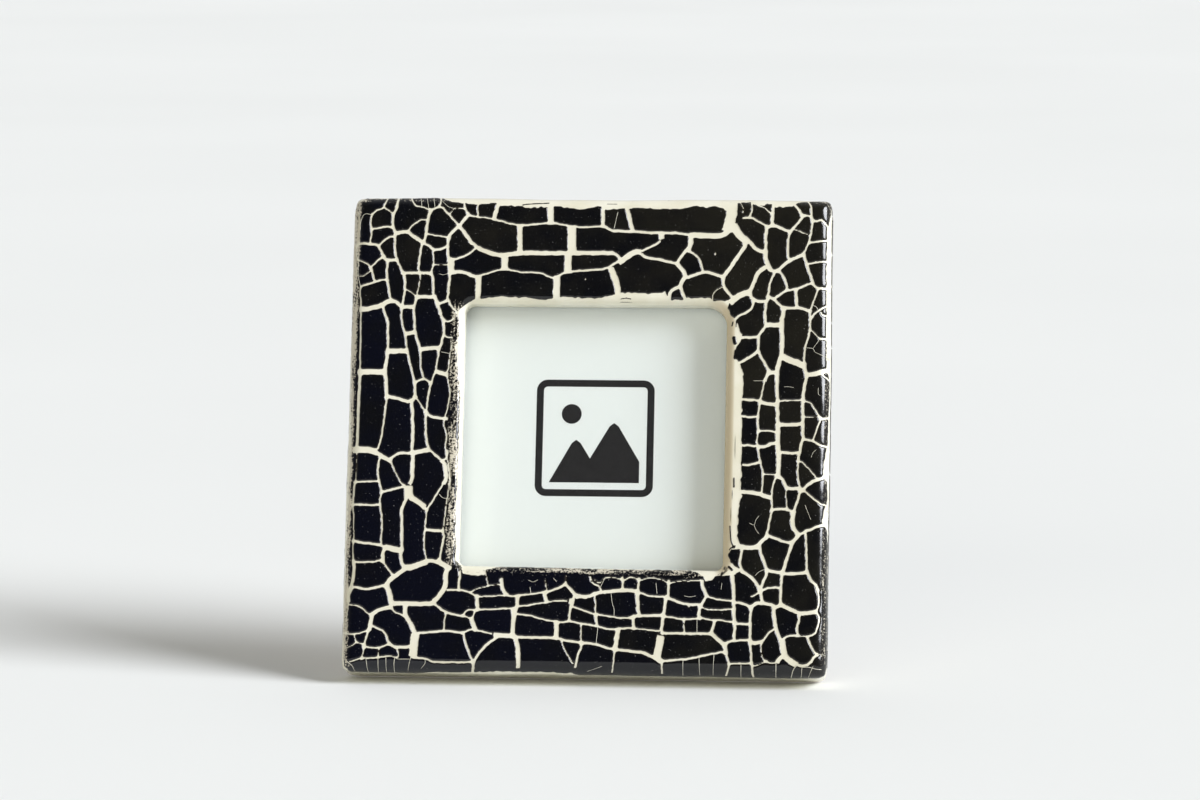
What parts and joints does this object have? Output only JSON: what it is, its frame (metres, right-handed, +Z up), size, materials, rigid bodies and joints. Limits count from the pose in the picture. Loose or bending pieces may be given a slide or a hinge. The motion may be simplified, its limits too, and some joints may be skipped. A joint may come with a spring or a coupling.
{
  "type": "photo frame",
  "caption": "Square ceramic photo frame with a crackle glaze, a glazed window, a back board held by turn buttons and a folding easel strut.",
  "frame": {"origin": "on the table, in the middle of the footprint of the opened frame", "axes": "+Z up, +X to the right of someone facing the picture, the picture faces -Y and leans back"},
  "size_m": [0.13, 0.06, 0.1268],
  "materials": {
    "glaze": "gloss",
    "glass": "gloss",
    "print": "matte",
    "card": "matte",
    "board": "matte",
    "steel": "satin",
    "rivet": "satin",
    "nylon": "matte"
  },
  "bodies": {
    "frame": {"ceramic_body": "glaze", "glass_pane": "glass", "photo_print": "print", "filler_card": "card", "back_board": "board", "hinge_fixed_leaf": "steel", "hinge_pin": "steel", "board_rivet_left": "rivet", "board_rivet_right": "rivet", "turn_screw_upper_left": "steel", "turn_screw_lower_left": "steel", "turn_screw_upper_right": "steel", "turn_screw_lower_right": "steel", "screw_plug_upper_left": "nylon", "screw_plug_lower_left": "nylon", "screw_plug_upper_right": "nylon", "screw_plug_lower_right": "nylon"},
    "strut": {"easel_strut": "board", "hinge_moving_leaf": "steel", "strut_rivet_left": "rivet", "strut_rivet_right": "rivet"},
    "button_upper_left": {"turn_button_upper_left": "steel"},
    "button_lower_left": {"turn_button_lower_left": "steel"},
    "button_upper_right": {"turn_button_upper_right": "steel"},
    "button_lower_right": {"turn_button_lower_right": "steel"}
  },
  "joints": [
    {"name": "strut_fold", "type": "hinge", "parent": "frame", "child": "strut", "pos_m": [0.0015, 0.01124, 0.08304], "axis": [1, 0, 0], "range_deg": [-30, 0]},
    {"name": "button_upper_left_turn", "type": "hinge", "parent": "frame", "child": "button_upper_left", "pos_m": [-0.0459, 0.00956, 0.08464], "axis": [0, 0.9511, -0.309], "continuous": true},
    {"name": "button_lower_left_turn", "type": "hinge", "parent": "frame", "child": "button_lower_left", "pos_m": [-0.0459, -0.00528, 0.03899], "axis": [0, 0.9511, -0.309], "continuous": true},
    {"name": "button_upper_right_turn", "type": "hinge", "parent": "frame", "child": "button_upper_right", "pos_m": [0.0489, 0.00956, 0.08464], "axis": [0, 0.9511, -0.309], "continuous": true},
    {"name": "button_lower_right_turn", "type": "hinge", "parent": "frame", "child": "button_lower_right", "pos_m": [0.0489, -0.00528, 0.03899], "axis": [0, 0.9511, -0.309], "continuous": true}
  ]
}
